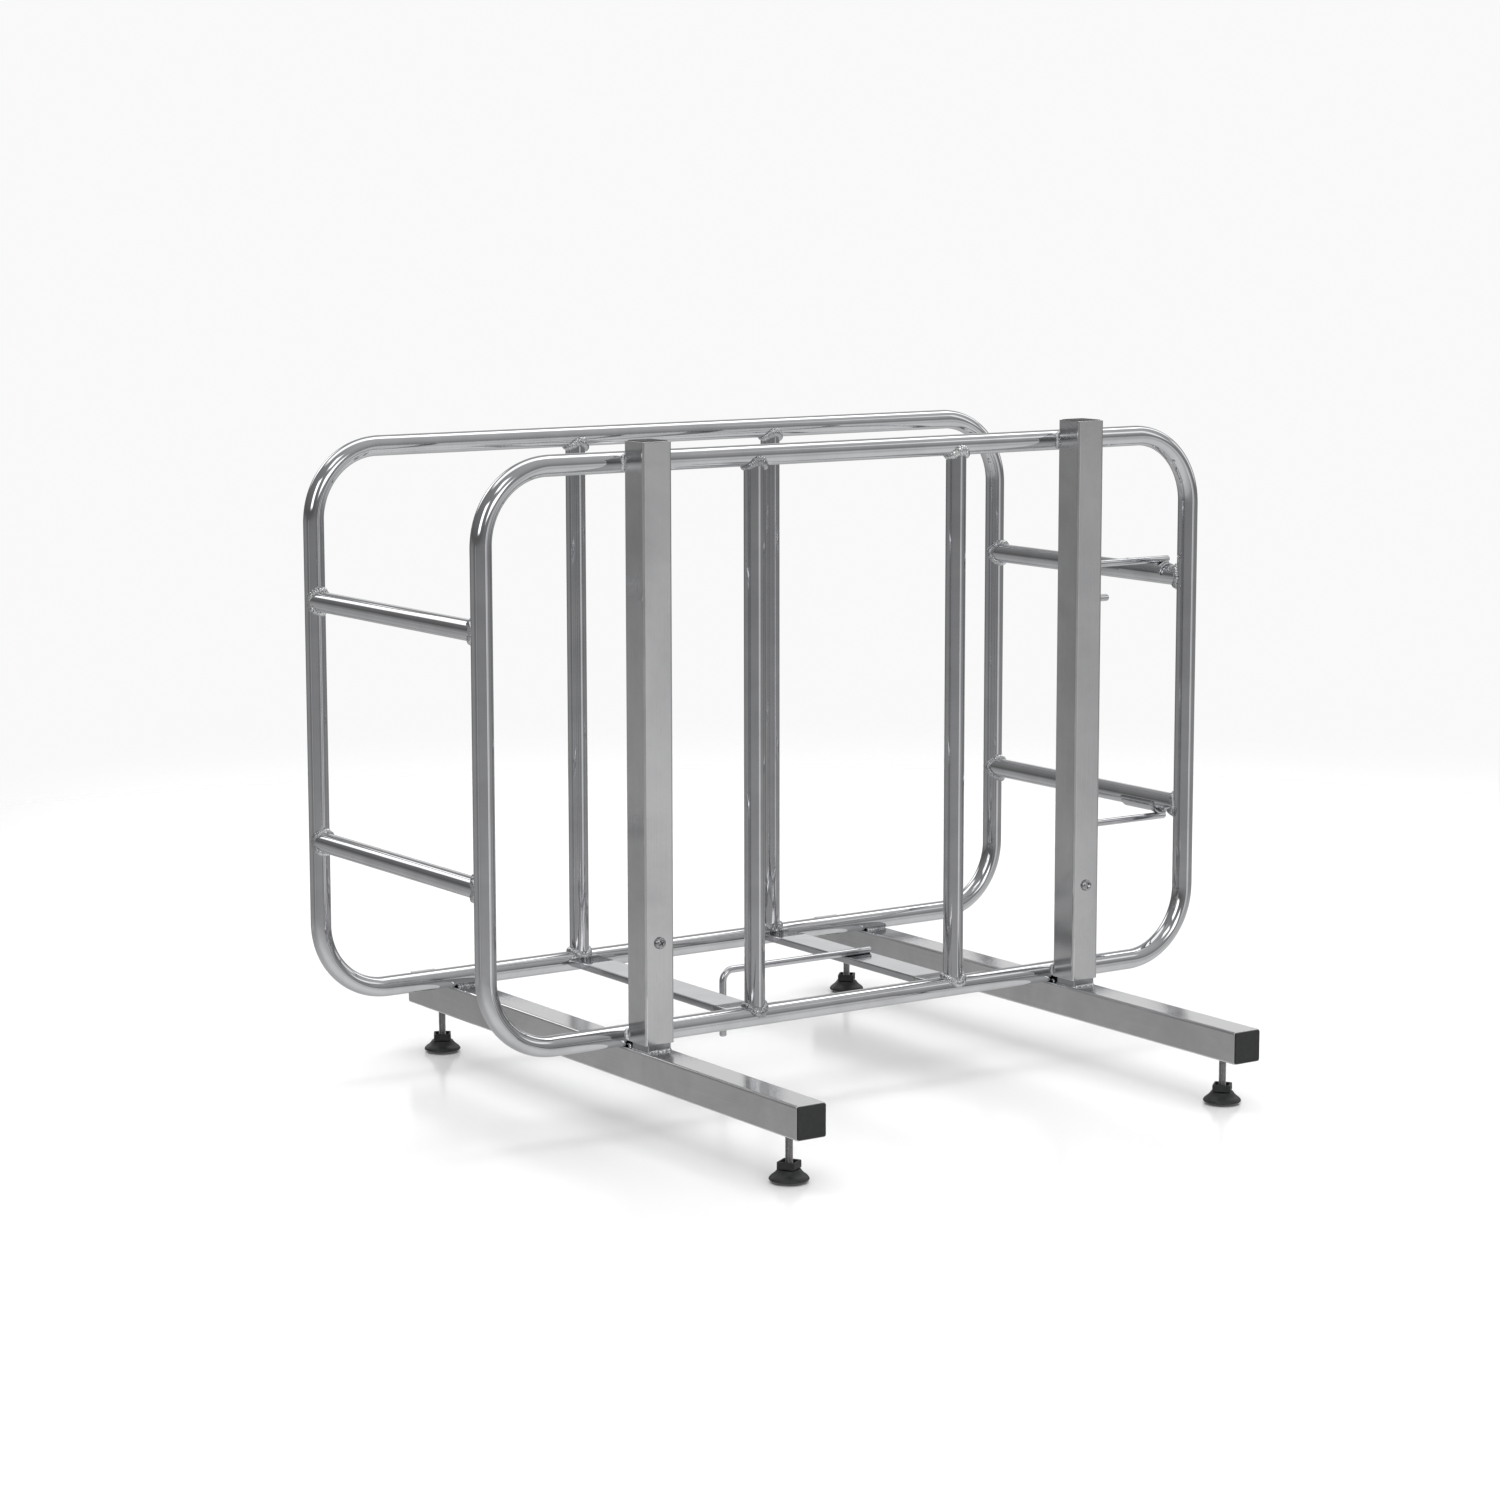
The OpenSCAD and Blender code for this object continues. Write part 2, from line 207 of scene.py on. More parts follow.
def node(nt, kind, **settings):
    n = nt.nodes.new(kind)
    for k, v in settings.items():
        setattr(n, k, v)
    return n


def noise(nt, vec, scale, detail=3.0, rough=0.55, stretch=None, coarse=0.0):
    src = vec
    if stretch:
        m = node(nt, "ShaderNodeMapping")
        m.inputs["Scale"].default_value = stretch
        nt.links.new(vec, m.inputs["Vector"])
        src = m.outputs["Vector"]
    n = node(nt, "ShaderNodeTexNoise")
    n.inputs["Scale"].default_value = scale
    n.inputs["Detail"].default_value = detail
    n.inputs["Roughness"].default_value = rough
    n.inputs["Distortion"].default_value = coarse
    nt.links.new(src, n.inputs["Vector"])
    return n.outputs["Fac"]


def ramp(nt, fac, stops, colour=False):
    r = node(nt, "ShaderNodeValToRGB")
    el = r.color_ramp.elements
    while len(el) < len(stops):
        el.new(0.5)
    for e, (p, c) in zip(el, stops):
        e.position = p
        e.color = (*c, 1) if colour else (c, c, c, 1)
    nt.links.new(fac, r.inputs["Fac"])
    return r.outputs["Color"]


def math_node(nt, op, a, b):
    n = node(nt, "ShaderNodeMath", operation=op)
    for i, v in enumerate((a, b)):
        if isinstance(v, (int, float)):
            n.inputs[i].default_value = v
        else:
            nt.links.new(v, n.inputs[i])
    return n.outputs[0]


def bump(nt, bsdf, layers):
    """layers: (height, distance in metres, strength)."""
    last = None
    for h, dist, strength in layers:
        b = node(nt, "ShaderNodeBump")
        b.inputs["Strength"].default_value = strength
        b.inputs["Distance"].default_value = dist
        nt.links.new(h, b.inputs["Height"])
        if last is not None:
            nt.links.new(last, b.inputs["Normal"])
        last = b.outputs["Normal"]
    nt.links.new(last, bsdf.inputs["Normal"])


def coords(nt):
    tc = node(nt, "ShaderNodeTexCoord")
    return tc.outputs["Object"], tc.outputs["UV"]


def chrome(name, light, dark, rough, draw=0.5, wave=1.0, knobs=0.0):
    """Plated steel: cloudy plate tone, hazy finger marks, draw lines along the run, slow waves."""
    m, nt, b = nodes_of(name)
    obj, uv = coords(nt)
    b.inputs["Metallic"].default_value = 1.0
    cloud = noise(nt, obj, 34, 4, 0.6)
    nt.links.new(ramp(nt, cloud, [(0.3, dark), (0.62, light)], True), b.inputs["Base Color"])
    smudge = noise(nt, obj, 21, 5, 0.65, coarse=0.6)
    specks = noise(nt, obj, 900, 2, 0.5)
    haze = ramp(nt, smudge, [(0.42, rough[0]), (0.58, rough[0] * 1.35), (0.74, rough[1])])
    grit = ramp(nt, specks, [(0.5, 0.0), (0.78, rough[1] * 0.4)])
    nt.links.new(math_node(nt, "ADD", haze, grit), b.inputs["Roughness"])
    lines = noise(nt, uv, 1.0, 3, 0.6, stretch=(2600, 22, 1))
    waves = noise(nt, obj, 16, 2, 0.4)
    peel = noise(nt, obj, 420, 2, 0.5)
    layers = [(waves, 0.0009 * wave, 0.22), (lines, 0.00002, 0.09 * draw), (peel, 0.000012, 0.1)]
    if knobs:
        layers.append((noise(nt, obj, 620, 2, 0.5), 0.0004, knobs))
    bump(nt, b, layers)
    return m


def brushed(name, light, dark, rough, grain=1.0):
    """Square tube: satin plate with long polishing lines, soft patches and a few fine scratches."""
    m, nt, b = nodes_of(name)
    obj, uv = coords(nt)
    b.inputs["Metallic"].default_value = 1.0
    cloud = noise(nt, obj, 11, 5, 0.62, coarse=0.4)
    line = noise(nt, uv, 1.0, 5, 0.7, stretch=(1900, 9, 1))
    fine = noise(nt, uv, 1.0, 3, 0.6, stretch=(5200, 60, 1))
    tone = math_node(
        nt, "ADD", math_node(nt, "MULTIPLY", cloud, 0.75), math_node(nt, "MULTIPLY", line, 0.25))
    nt.links.new(ramp(nt, tone, [(0.34, dark), (0.64, light)], True), b.inputs["Base Color"])
    scratch = noise(nt, uv, 1.0, 2, 0.5, stretch=(900, 120, 1), coarse=1.2)
    marks = ramp(nt, scratch, [(0.66, 0.0), (0.72, 0.06)])
    base = ramp(nt, cloud, [(0.35, rough[0]), (0.68, rough[1])])
    rub = ramp(nt, line, [(0.35, 0.0), (0.75, 0.05 * grain)])
    nt.links.new(math_node(nt, "ADD", math_node(nt, "ADD", base, rub), marks), b.inputs["Roughness"])
    waves = noise(nt, obj, 9, 2, 0.4)
    bump(nt, b, [(waves, 0.0009, 0.2), (line, 0.00002, 0.4 * grain), (fine, 0.00001, 0.35 * grain)])
    return m


def plastic(name, light, dark, rough, grain=0.00003, spark=0.35):
    """Moulded black plastic: fine spark-eroded grain, rubbed patches, a little dust."""
    m, nt, b = nodes_of(name)
    obj, _ = coords(nt)
    b.inputs["Specular IOR Level"].default_value = spark
    b.inputs["IOR"].default_value = 1.49
    cloud = noise(nt, obj, 260, 4, 0.6)
    dust = noise(nt, obj, 2300, 2, 0.6)
    mix = node(nt, "ShaderNodeMix", data_type="RGBA", blend_type="MIX")
    nt.links.new(ramp(nt, dust, [(0.66, 0.0), (0.8, 0.5)]), mix.inputs["Factor"])
    nt.links.new(ramp(nt, cloud, [(0.3, dark), (0.7, light)], True), mix.inputs["A"])
    mix.inputs["B"].default_value = (light[0] * 2.4, light[1] * 2.4, light[2] * 2.3, 1)
    nt.links.new(mix.outputs["Result"], b.inputs["Base Color"])
    nt.links.new(ramp(nt, cloud, [(0.3, rough[0]), (0.7, rough[1])]), b.inputs["Roughness"])
    pore = noise(nt, obj, 2600, 3, 0.6)
    ripple = noise(nt, obj, 300, 2, 0.5)
    bump(nt, b, [(ripple, 0.00006, 0.35), (pore, grain, 0.7)])
    return m


M_TUBE = chrome("chrome_tube", (0.60, 0.605, 0.62), (0.53, 0.535, 0.55), (0.045, 0.12))
M_RUNG = chrome("chrome_rung", (0.59, 0.595, 0.61), (0.52, 0.525, 0.54), (0.05, 0.13), draw=0.8)
M_WIRE = chrome(
    "chrome_wire", (0.56, 0.565, 0.58), (0.45, 0.455, 0.47), (0.09, 0.2), draw=1.0, wave=0.5)
M_STRIP = chrome(
    "chrome_strip", (0.52, 0.525, 0.54), (0.44, 0.445, 0.46), (0.08, 0.2), draw=1.2, wave=0.7)
M_WELD = chrome(
    "weld_plate", (0.66, 0.665, 0.67), (0.30, 0.305, 0.32), (0.07, 0.2), draw=0.0, wave=0.4, knobs=0.5)
M_SQUARE = brushed("square_tube", (0.66, 0.662, 0.67), (0.47, 0.473, 0.48), (0.1, 0.19))
# brighter, smoother plate: painted highlight lines on the square tubes' corners and ends, and on the stem
# collars
M_EDGE_HIGHLIGHT = chrome(
    "polished_edge_painted_highlight", (0.80, 0.803, 0.81), (0.68, 0.684, 0.69), (0.05, 0.1), draw=0.4, wave=0.5)
M_SPIGOT = brushed("spigot_steel", (0.42, 0.43, 0.44), (0.27, 0.28, 0.29), (0.2, 0.32), grain=1.6)
M_ZINC = brushed("zinc_plate", (0.6, 0.59, 0.58), (0.42, 0.415, 0.41), (0.26, 0.4), grain=0.8)
M_SCREW = brushed("screw_plate", (0.46, 0.46, 0.47), (0.24, 0.24, 0.25), (0.14, 0.26), grain=0.6)
M_THREAD = brushed(
    "thread_plate", (0.46, 0.455, 0.45), (0.28, 0.277, 0.273), (0.16, 0.3), grain=0.6)
M_CAP = plastic("black_cap", (0.030, 0.031, 0.032), (0.020, 0.021, 0.021), (0.42, 0.55))
M_PAD = plastic(
    "black_pad", (0.026, 0.027, 0.027), (0.016, 0.017, 0.017), (0.36, 0.5), grain=0.00004)

# ---------------------------------------------------------------- the cage

BEND = 49 * MM           # centreline radius of a loop's bends
WALL = 1 * MM            # square tube's wall
STEP = 0.2 * MM          # spacing of the rings along a bead
COPE_LEG = 2.15 * MM     # bead radii: at the tubes' coped ends,
STRIP_LEG = 1.25 * MM    # at the floor strips,
FRAME_LEG = 1.5 * MM     # at the uprights, the foot bars and the spigots' fronts,
SEAT_LEG = 0.75 * MM     # round the spigots' seats,
DAB_LEG = 0.95 * MM      # where the stop's arms meet the saddles
STUB_LEG = 0.8 * MM      # and where its stub meets the bow
STOP_NEAR = 9 * MM       # the wire stop's travel towards the front loop


def loop_path(lo, hi, r):
    x1, x0 = hi[0] - r, lo[0] + r
    z0, z1 = lo[2] + r, hi[2] - r
    y = (lo[1] + hi[1]) / 2
    pts, kink = [], []
    corners = (
        (x1 - BEND, z1 - BEND, 0), (x0 + BEND, z1 - BEND, 90),
        (x0 + BEND, z0 + BEND, 180), (x1 - BEND, z0 + BEND, 270))
    for cx, cz, a0 in corners:
        for k in range(33):
            a = math.radians(a0 + 90 * k / 32)
            pts.append((cx + BEND * math.cos(a), y, cz + BEND * math.sin(a)))
            kink.append(math.sin(math.pi * k / 32) ** 0.5)
        a = math.radians(a0 + 90)
        nx = corners[(a0 // 90 + 1) % 4]
        end = np.array((nx[0] + BEND * math.cos(a), y, nx[1] + BEND * math.sin(a)))
        start = np.array(pts[-1])
        for f in (0.02, 0.25, 0.5, 0.75, 0.98):
            pts.append(tuple(start + (end - start) * f))
            kink.append(0.0)
    return np.array(pts), np.array(kink)


def make_loop(name, node_name):
    lo, hi = box(node_name)
    r = (hi[1] - lo[1]) / 2
    pts, kink = loop_path(lo, hi, r)
    t = unit(np.roll(pts, -1, 0) - np.roll(pts, 1, 0))
    inward = np.cross(Y, t)
    ang = np.arange(56) * 2 * math.pi / 56
    rings = []
    for i in range(len(pts)):
        flat, wide = 1 - 0.035 * kink[i], 1 + 0.012 * kink[i]
        dent = 0.02 * kink[i] * np.clip(np.cos(ang), 0, 1) ** 3
        across = np.outer(r * np.cos(ang) * (flat - dent), inward[i])
        rings.append(pts[i] + across + np.outer(r * np.sin(ang) * wide, Y))
    Shape().loft(rings, closed=True).piece(name, M_TUBE, slot="chromed_tube", nodes=[node_name])


make_loop("loop_front_tube", "front_loop")
make_loop("loop_rear_tube", "rear_loop")
f_lo, f_hi = box("front_loop")
r_lo, r_hi = box("rear_loop")
R = (f_hi[1] - f_lo[1]) / 2
FY, RY = (f_lo[1] + f_hi[1]) / 2, (r_lo[1] + r_hi[1]) / 2
Z0, Z1 = f_lo[2] + R, f_hi[2] - R


def coped(name, node_name, a, b, host, heavy, r, seed):
    """A tube from host centreline a to b, its ends cut to the host's curve and welded to it.

    Each end's bead is heaviest along heavy.
    """
    a, b = np.asarray(a, float), np.asarray(b, float)
    d = unit(b - a)
    k = np.cross(d, host)
    ang = np.arange(48) * 2 * math.pi / 48
    radial = np.outer(np.cos(ang), host) + np.outer(np.sin(ang), k)
    cut = np.sqrt(R ** 2 - (r * np.sin(ang)) ** 2) - 0.8 * MM
    length = np.linalg.norm(b - a)
    rings = [a + radial * r + np.outer(cut, d)]
    for at in (10 * MM, length * 0.33, length * 0.66, length - 10 * MM):
        rings.append(a + radial * r + d * at)
    rings.append(b + radial * r - np.outer(cut, d))
    Shape().loft(rings).piece(name, M_RUNG, slot="chromed_tube", nodes=[node_name])
    fine = np.linspace(0, 2 * math.pi, 220, endpoint=False)
    out = np.outer(np.cos(fine), host) + np.outer(np.sin(fine), k)
    rise = np.sqrt(R ** 2 - 0.86 * (r * np.sin(fine)) ** 2)
    for s, o, e in ((1, a, 0), (-1, b, 1)):
        path = o + out * (r + 0.1 * MM) + np.outer(rise + 0.35 * MM, d * s)
        pts = resample(path, STEP)
        away = nearest(path, out, pts)
        more = 0.95 + 0.5 * np.abs(away @ heavy) ** 2
        bead(WELDS, pts, away, COPE_LEG, seed + e, swell=more)


def nearest(path, vec, pts):
    """For each of pts, the vec of the nearest point of path."""
    i = ((pts[:, None, :] - path[None, :, :]) ** 2).sum(2).argmin(1)
    return vec[i]


WELDS = Shape()
RUNGS = ("front_rung_left", "front_rung_right", "rear_rung_left", "rear_rung_right")
CROSSBARS = (
    "crossbar_left_upper", "crossbar_left_lower", "crossbar_right_upper", "crossbar_right_lower")
for i, n in enumerate(RUNGS):
    lo, hi = box(n)
    c = (lo + hi) / 2
    coped(n + "_tube", n, (c[0], c[1], Z0), (c[0], c[1], Z1), X, Y, (hi[0] - lo[0]) / 2, 10 + 3 * i)
for i, n in enumerate(CROSSBARS):
    lo, hi = box(n)
    c = (lo + hi) / 2
    coped(n + "_tube", n, (c[0], FY, c[2]), (c[0], RY, c[2]), Z, Z, (hi[0] - lo[0]) / 2, 40 + 3 * i)

for i, n in enumerate(("floor_strip_left", "floor_strip_right")):
    lo, hi = box(n)
    w, t = (hi[0] - lo[0]) / 2, (hi[2] - lo[2]) / 2
    cx, cz = (lo[0] + hi[0]) / 2, (lo[2] + hi[2]) / 2
    edge = 0.9 * MM
    prof = []
    for sx, sz, a0 in ((1, 1, 0), (-1, 1, 90), (-1, -1, 180), (1, -1, 270)):
        for q in range(6):
            a = math.radians(a0 + 90 * q / 5)
            prof.append((
                sx * (w - edge) + edge * math.cos(a), sz * (t - edge) + edge * math.sin(a)))
        dx, dz = ((-1, 0), (0, -1), (1, 0), (0, 1))[a0 // 90]
        span = 2 * ((w if dx else t) - edge)
        x_at, z_at = prof[-1]
        for f in (0.3 * MM, span - 0.3 * MM):
            prof.append((x_at + dx * f, z_at + dz * f))
    prof = np.array(prof)
    ys = np.linspace(lo[1] - 0.9 * MM, hi[1] + 0.9 * MM, 9)
    strip = Shape().loft([place(prof, (cx, y, cz), X, Z) for y in ys], cap0=True, cap1=True)
    strip.piece(n + "_bar", M_STRIP, slot="chromed_tube", nodes=[n])
    for e, (y, s) in enumerate(((FY, 1), (RY, -1))):
        for top, dz in ((True, hi[2] - Z0), (False, lo[2] - Z0)):
            off = math.sqrt(R ** 2 - dz ** 2)
            xs = np.linspace(-w + 1.2 * MM, w - 1.2 * MM, 120)
            at_y = np.full(120, y + s * (off + 0.2 * MM))
            at_z = np.full(120, Z0 + dz + (0.1 if top else -0.1) * MM)
            path = np.stack([cx + xs, at_y, at_z], 1)
            bead(WELDS, path, np.tile(Z if top else -Z, (120, 1)), STRIP_LEG,
                 70 + 5 * i + 2 * e + top, closed=False)

# ---------------------------------------------------------------- uprights, bars, spigots


def square_tube(name, node_name, axis, mat, wall=WALL, corner=1.5 * MM, deep=16 * MM, steps=14):
    """A square tube along axis, open at both ends, hollow to the given depth."""
    lo, hi = box(node_name)
    c = (lo + hi) / 2
    k = {"y": 1, "z": 2}[axis]
    half = (hi[0] - lo[0]) / 2
    ex, ey, ez = (X, Z, -Y) if axis == "y" else (X, Y, Z)
    length = hi[k] - lo[k]
    soft = 0.22 * MM
    rings = []

    def ring(w, r, at):
        rings.append(place(rounded_poly(w, max(r, 0.3 * MM)), c + ez * (at - length / 2), ex, ey))

    inner, ri = half - wall, corner - wall / 2
    ring(inner, ri, deep)
    ring(inner, ri, soft + 0.3 * MM)
    for q in range(4):
        a = math.radians(90 * q / 3)
        grow = soft * (1 - math.cos(a))
        ring(inner + grow, ri + grow, soft * (1 - math.sin(a)))
    ring(half - wall / 2, (corner + ri) / 2, 0)
    for q in range(4):
        a = math.radians(90 * q / 3)
        cut = soft * (1 - math.sin(a))
        ring(half - cut, corner - cut, soft * (1 - math.cos(a)))
    for f in np.linspace(soft + 0.3 * MM, length - soft - 0.3 * MM, steps):
        ring(half, corner, f)
    for q in range(4):
        a = math.radians(90 * q / 3)
        cut = soft * (1 - math.cos(a))
        ring(half - cut, corner - cut, length - soft * (1 - math.sin(a)))
    ring(half - wall / 2, (corner + ri) / 2, length)
    for q in range(4):
        a = math.radians(90 * q / 3)
        grow = soft * (1 - math.sin(a))
        ring(inner + grow, ri + grow, length - soft * (1 - math.cos(a)))
    ring(inner, ri, length - soft - 0.3 * MM)
    ring(inner, ri, length - deep)
    ob = Shape().loft(rings).piece(name, mat, slot="plated_square_tube", nodes=[node_name])
    if mat is M_SQUARE:
        # the corners and the ends take a brighter, smoother plate than the faces: painted highlight lines
        # along the edges
        ob.data.materials.append(M_EDGE_HIGHLIGHT)
        count = len(rings[0])
        per = count // 4
        highlight_faces = []
        for k in range(len(rings) - 1):
            at_end = 1 < k < 9 or k > len(rings) - 12
            highlight_faces += [int(at_end or 1 <= j % per <= 5) for j in range(count)]
        ob.data.polygons.foreach_set("material_index", highlight_faces)


for side in ("left", "right"):
    square_tube("upright_%s_tube" % side, "upright_" + side, "z", M_SQUARE)
    square_tube("foot_bar_%s_tube" % side, "foot_bar_" + side, "y", M_SQUARE)
    square_tube("spigot_%s_tube" % side, "spigot_" + side, "z", M_SPIGOT,
                wall=2 * MM, corner=1.4 * MM, deep=20 * MM, steps=4)

    # weld round the contact of the upright and each loop tube
    lo, hi = box("upright_" + side)
    cx = (lo[0] + hi[0]) / 2
    w = (hi[0] - lo[0]) / 2
    for e, zc in enumerate((Z0, Z1)):
        rect = []
        z_mid, z_half = (2.0 * MM, 2.6 * MM) if e == 0 else (0.0, 4.6 * MM)
        for sx, sz, a0 in ((1, 1, 0), (-1, 1, 90), (-1, -1, 180), (1, -1, 270)):
            for q in range(8):
                a = math.radians(a0 + 90 * q / 7)
                rect.append((
                    sx * (w - 1.6 * MM) + 2 * MM * math.cos(a),
                    z_mid + sz * (z_half - 2 * MM) + 2 * MM * math.sin(a)))
        dx, dz = np.array(rect).T
        pts = np.stack([cx + dx, FY - np.sqrt(R ** 2 - dz ** 2) - 0.1 * MM, zc + dz], 1)
        pts = resample(pts, STEP)
        bead(WELDS, pts, np.tile(-Y, (len(pts), 1)), FRAME_LEG, 90 + 4 * e + (side == "left"))

    # fillets where both loops rest on the foot bar
    bar_top = box("foot_bar_" + side)[1][2]
    for e, yc in enumerate((FY, RY)):
        for s in (-1, 1):
            xs = np.linspace(-w + 2.5 * MM, w - 2.5 * MM, 90)
            at_y, at_z = np.full(90, yc + s * 4.0 * MM), np.full(90, bar_top + 0.5 * MM)
            path = np.stack([cx + xs, at_y, at_z], 1)
            bead(WELDS, path, np.tile(unit(Z + Y * s), (90, 1)), FRAME_LEG,
                 170 + 4 * e + s + (side == "left") * 9, closed=False, pitch=2.4)

seat = Shape()
for i, side in enumerate(("left", "right")):
    lo, hi = box("spigot_" + side)
    c = (lo + hi) / 2
    w = (hi[0] - lo[0]) / 2
    rim = rounded_poly(w + 0.1 * MM, 1.5 * MM)
    pts = resample(place(rim, (c[0], c[1], lo[2] + 0.15 * MM), X, Y), STEP)
    out = unit(pts - np.array([c[0], c[1], lo[2] - 6 * MM]))
    bead(seat, pts, out, SEAT_LEG, 120 + i)
    xs = np.linspace(-w + 1.5 * MM, w - 0.5 * MM, 90)
    front = np.stack([c[0] + xs, np.full(90, lo[1] - 0.3 * MM), np.full(90, lo[2] + 0.5 * MM)], 1)
    bead(seat, front, np.tile(unit(Z - Y), (90, 1)), FRAME_LEG, 130 + i, closed=False, pitch=3.2)
seat.piece("spigot_weld_beads", M_WELD, slot="weld_metal", nodes=["spigot_welds"])

saddle_lo = box("saddle_upper")[0]


def trimmed(x, y, z):
    """Keeps the beads inside the loop's width, and off the upper saddle at the stop's near limit."""
    at_saddle = x > saddle_lo[0] and y < saddle_lo[1] and abs(z - saddle_lo[2]) < 2 * R
    if at_saddle:
        y = min(y, saddle_lo[1] - STOP_NEAR - 0.2 * MM)
    return min(max(x, f_lo[0]), f_hi[0]), y, z


WELDS.v = [trimmed(x, y, z) for x, y, z in WELDS.v]
WELDS.piece("cage_weld_beads", M_WELD, slot="weld_metal")


def plug_face(shape, c, half, ex, ey, out, crown, lip, corner=1.5 * MM):
    """A square plug's face: rounded edge, flat margin, shallow sunk panel or low dome."""
    rings = [place(rounded_poly(half, corner), c - out * deep * MM, ex, ey) for deep in (6, 0.5)]
    for q in range(5):
        a = math.radians(90 * q / 4)
        cut = lip * (1 - math.cos(a))
        rim = rounded_poly(half - cut, corner - cut * 0.5)
        rings.append(place(rim, c - out * lip * (1 - math.sin(a)), ex, ey))
    top = half - lip
    for f in (0.96, 0.9, 0.8, 0.65, 0.5, 0.35, 0.2, 0.08):
        rise = crown * (1 - f ** 2)
        rings.append(place(rounded_poly(top * f, max(corner * f, 0.3 * MM)), c + out * rise, ex, ey))
    shape.loft(rings, cap0=True, cap1=True)


def end_cap(shape, c, tube_half, ex, ey, out, thick):
    """A foot bar's cap: plug inside the tube, thin flange over its end, face dished by a hair."""
    plug, flange, edge = tube_half - 1.1 * MM, tube_half - 0.5 * MM, 0.28 * MM
    rings = []
    for half, r, deep in (
            (plug - 1.9 * MM, 0.6, 12 * MM), (plug - 0.5 * MM, 0.8, 11.6 * MM), (plug, 0.9, 11 * MM),
            (plug, 0.9, thick + 0.05 * MM), (flange - 0.1 * MM, 1.1, thick - 0.04 * MM)):
        rings.append(place(rounded_poly(half, r * MM), c - out * deep, ex, ey))
    rings.append(place(rounded_poly(flange, 1.2 * MM), c - out * (thick - 0.16 * MM), ex, ey))
    for q in range(6):
        a = math.radians(90 * q / 5)
        cut = edge * (1 - math.cos(a))
        rim = rounded_poly(flange - cut, 1.2 * MM - cut)
        rings.append(place(rim, c - out * edge * (1 - math.sin(a)), ex, ey))
    dish = ((0.93, 0.0), (0.9, 0.02), (0.86, 0.1), (0.83, 0.13), (0.6, 0.13), (0.3, 0.13), (0.08, 0.13))
    for f, sink in dish:
        rim = rounded_poly((flange - edge) * f, max(1.1 * MM * f, 0.2 * MM))
        rings.append(place(rim, c - out * sink * MM, ex, ey))
    shape.loft(rings, cap0=True, cap1=True)


tops = Shape()
for side in ("left", "right"):
    u_lo, u_hi = box("upright_" + side)
    c = np.array([(u_lo[0] + u_hi[0]) / 2, (u_lo[1] + u_hi[1]) / 2, u_hi[2] + 0.35 * MM])
    plug_face(tops, c, (u_hi[0] - u_lo[0]) / 2 - 1.1 * MM, X, Y, Z, 0.7 * MM, 0.5 * MM)
tops.piece("upright_top_plugs", M_CAP, slot="black_plastic", nodes=["upright_caps"])

ends = Shape()
for side in ("left", "right"):
    b_lo, b_hi = box("foot_bar_" + side)
    cx, cz = (b_lo[0] + b_hi[0]) / 2, (b_lo[2] + b_hi[2]) / 2
    half = (b_hi[0] - b_lo[0]) / 2
    e_lo, e_hi = box("foot_bar_caps")
    end_cap(ends, np.array([cx, e_lo[1], cz]), half, X, Z, -Y, b_lo[1] - e_lo[1])
    end_cap(ends, np.array([cx, e_hi[1], cz]), half, Z, X, Y, e_hi[1] - b_hi[1])
ends.piece("foot_bar_end_plugs", M_CAP, slot="black_plastic", nodes=["foot_bar_caps"])

# ---------------------------------------------------------------- screws and nuts


def cut_with(target, cutter):
    mod = target.modifiers.new("cut", "BOOLEAN")
    mod.operation = "DIFFERENCE"
    mod.solver = "EXACT"
    mod.object = cutter
    bpy.context.view_layer.update()
    deps = bpy.context.evaluated_depsgraph_get()
    me = bpy.data.meshes.new_from_object(target.evaluated_get(deps))
    target.modifiers.clear()
    target.data = me
    bpy.data.objects.remove(cutter)


def slot_cutter(c, ex, ey, ez, turn):
    """One tapering slot of a cross recess; two of them, a quarter turn apart, make the cross."""
    u, v = (ex, ey) if turn == 0 else (ey, -ex)
    rings = []
    for z, a, b in ((-1.5, 0.9, 0.36), (0.6, 2.55, 0.46)):
        corners = [(-a * MM, -b * MM), (a * MM, -b * MM), (a * MM, b * MM), (-a * MM, b * MM)]
        rings.append(place(corners, c + ez * z * MM, u, v))
    sh = Shape().loft(rings, cap0=True, cap1=True)
    me = bpy.data.meshes.new("cutter")
    me.from_pydata(sh.v, [], sh.f)
    ob = bpy.data.objects.new("cutter", me)
    bpy.context.scene.collection.objects.link(ob)
    return ob


s_lo, s_hi = box("clamp_screws")
head_y = box("upright_left")[0][1]
head_h = head_y - s_lo[1]
for side in ("left", "right"):
    lo, hi = box("upright_" + side)
    c = np.array([(lo[0] + hi[0]) / 2, head_y, (s_lo[2] + s_hi[2]) / 2])
    hr = (s_hi[2] - s_lo[2]) / 2
    prof = [(hr * 0.5, -8 * MM), (hr * 0.5, 0), (hr - 0.25 * MM, 0.02 * MM), (hr, 0.25 * MM),
            (hr, 0.7 * MM)]
    for q in range(1, 9):
        a = math.radians(90 * q / 8)
        prof.append((hr * (0.45 + 0.55 * math.cos(a)), 0.7 * MM + (head_h - 0.7 * MM) * math.sin(a)))
    sh = Shape()
    lathe(sh, c, prof, 48, X, Z, -Y, cap0=True, cap1=True)
    ob = sh.piece(
        "clamp_screw_" + side, M_SCREW, slot="zinc_steel", nodes=["clamp_screws"], sharp=35)
    turn = math.radians(28 if side == "left" else -17)
    ex = X * math.cos(turn) + Z * math.sin(turn)
    ey = -X * math.sin(turn) + Z * math.cos(turn)
    for quarter in (0, 1):
        cut_with(ob, slot_cutter(c - Y * head_h, ex, ey, -Y, quarter))
    for p in ob.data.polygons:
        p.use_smooth = True
    ob.data.set_sharp_from_angle(angle=math.radians(32))

